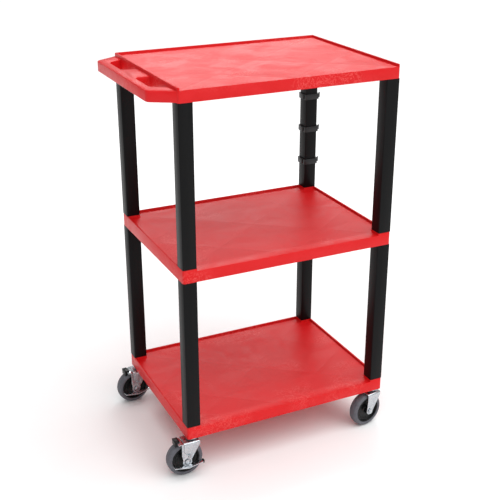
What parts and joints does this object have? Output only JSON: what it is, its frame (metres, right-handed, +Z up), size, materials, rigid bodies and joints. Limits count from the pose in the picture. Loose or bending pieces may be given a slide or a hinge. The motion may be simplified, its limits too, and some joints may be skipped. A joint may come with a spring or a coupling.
{
  "type": "book cart",
  "caption": "Tall rolling book cart with moulded shelves on plug-in square legs, a push handle, cable clips and swivel casters, some with brakes.",
  "frame": {"origin": "on the floor under the middle of the whole cart's box", "axes": "+Z up; the handle is at the -X end; the long side with no lip faces -Y"},
  "size_m": [0.689, 0.4884, 1.0668],
  "materials": {
    "shelf_plastic": "moulded polyethylene, fine texture, cloudy flow marks",
    "leg_plastic": "extruded rigid plastic, satin, fine lengthwise draw lines",
    "clip_plastic": "moulded nylon, satin",
    "zinc_plate": "pressed steel, bright zinc plate",
    "bearing_steel": "turned or ground steel, lightly oiled",
    "hub_plastic": "moulded polypropylene, semi-gloss",
    "tyre_rubber": "non-marking thermoplastic rubber, matt"
  },
  "bodies": {
    "root": {"top_shelf": "shelf_plastic", "middle_shelf": "shelf_plastic", "bottom_shelf": "shelf_plastic", "lower_leg_front_left": "leg_plastic", "lower_leg_front_right": "leg_plastic", "lower_leg_back_left": "leg_plastic", "lower_leg_back_right": "leg_plastic", "upper_leg_front_left": "leg_plastic", "upper_leg_front_right": "leg_plastic", "upper_leg_back_left": "leg_plastic", "upper_leg_back_right": "leg_plastic", "stem_front_left": "zinc_plate", "stem_sleeve_front_left": "clip_plastic", "stem_front_right": "zinc_plate", "stem_sleeve_front_right": "clip_plastic", "stem_back_left": "zinc_plate", "stem_sleeve_back_left": "clip_plastic", "stem_back_right": "zinc_plate", "stem_sleeve_back_right": "clip_plastic"},
    "caster_front_left": {"ball_cage_front_left": "bearing_steel", "fork_front_left": "zinc_plate", "axle_bushing_front_left": "bearing_steel", "axle_bolt_front_left": "zinc_plate", "axle_nut_front_left": "zinc_plate", "brake_pin_front_left": "bearing_steel"},
    "wheel_front_left": {"hub_front_left": "hub_plastic", "tyre_front_left": "tyre_rubber"},
    "brake_front_left": {"brake_lever_front_left": "zinc_plate", "brake_shoe_front_left": "hub_plastic", "pedal_cap_front_left": "hub_plastic"},
    "caster_front_right": {"ball_cage_front_right": "bearing_steel", "fork_front_right": "zinc_plate", "axle_bushing_front_right": "bearing_steel", "axle_bolt_front_right": "zinc_plate", "axle_nut_front_right": "zinc_plate"},
    "wheel_front_right": {"hub_front_right": "hub_plastic", "tyre_front_right": "tyre_rubber"},
    "caster_back_left": {"ball_cage_back_left": "bearing_steel", "fork_back_left": "zinc_plate", "axle_bushing_back_left": "bearing_steel", "axle_bolt_back_left": "zinc_plate", "axle_nut_back_left": "zinc_plate", "brake_pin_back_left": "bearing_steel"},
    "wheel_back_left": {"hub_back_left": "hub_plastic", "tyre_back_left": "tyre_rubber"},
    "brake_back_left": {"brake_lever_back_left": "zinc_plate", "brake_shoe_back_left": "hub_plastic", "pedal_cap_back_left": "hub_plastic"},
    "caster_back_right": {"ball_cage_back_right": "bearing_steel", "fork_back_right": "zinc_plate", "axle_bushing_back_right": "bearing_steel", "axle_bolt_back_right": "zinc_plate", "axle_nut_back_right": "zinc_plate"},
    "wheel_back_right": {"hub_back_right": "hub_plastic", "tyre_back_right": "tyre_rubber"},
    "clip_upper": {"cable_clip_upper": "clip_plastic"},
    "clip_middle": {"cable_clip_middle": "clip_plastic"},
    "clip_lower": {"cable_clip_lower": "clip_plastic"}
  },
  "joints": [
    {"name": "swivel_front_left", "type": "hinge", "parent": "root", "child": "caster_front_left", "pos_m": [-0.26325, -0.20688, 0], "axis": [0, 0, 1], "continuous": true},
    {"name": "spin_front_left", "type": "hinge", "parent": "caster_front_left", "child": "wheel_front_left", "pos_m": [-0.28725, -0.20688, 0.05056], "axis": [0, -1, 0], "continuous": true},
    {"name": "brake_front_left", "type": "hinge", "parent": "caster_front_left", "child": "brake_front_left", "pos_m": [-0.28025, -0.20688, 0.06456], "axis": [0, -1, 0], "range_deg": [0, 4.5]},
    {"name": "swivel_front_right", "type": "hinge", "parent": "root", "child": "caster_front_right", "pos_m": [0.30825, -0.20688, 0], "axis": [0, 0, 1], "continuous": true},
    {"name": "spin_front_right", "type": "hinge", "parent": "caster_front_right", "child": "wheel_front_right", "pos_m": [0.28461, -0.21105, 0.05056], "axis": [0.1736, -0.9848, 0], "continuous": true},
    {"name": "swivel_back_left", "type": "hinge", "parent": "root", "child": "caster_back_left", "pos_m": [-0.26325, 0.21222, 0], "axis": [0, 0, 1], "continuous": true},
    {"name": "spin_back_left", "type": "hinge", "parent": "caster_back_left", "child": "wheel_back_left", "pos_m": [-0.28712, 0.20971, 0.05056], "axis": [0.1045, -0.9945, 0], "continuous": true},
    {"name": "brake_back_left", "type": "hinge", "parent": "caster_back_left", "child": "brake_back_left", "pos_m": [-0.28016, 0.21044, 0.06456], "axis": [0.1045, -0.9945, 0], "range_deg": [0, 4.5]},
    {"name": "swivel_back_right", "type": "hinge", "parent": "root", "child": "caster_back_right", "pos_m": [0.30825, 0.21222, 0], "axis": [0, 0, 1], "continuous": true},
    {"name": "spin_back_right", "type": "hinge", "parent": "caster_back_right", "child": "wheel_back_right", "pos_m": [0.28426, 0.21306, 0.05056], "axis": [-0.0349, -0.9994, 0], "continuous": true},
    {"name": "clip_slide_upper", "type": "slide", "parent": "root", "child": "clip_upper", "axis": [0, 0, 1], "range_m": [-0.04, 0.04]},
    {"name": "clip_slide_middle", "type": "slide", "parent": "root", "child": "clip_middle", "axis": [0, 0, 1], "range_m": [-0.04, 0.04]},
    {"name": "clip_slide_lower", "type": "slide", "parent": "root", "child": "clip_lower", "axis": [0, 0, 1], "range_m": [-0.04, 0.04]}
  ]
}
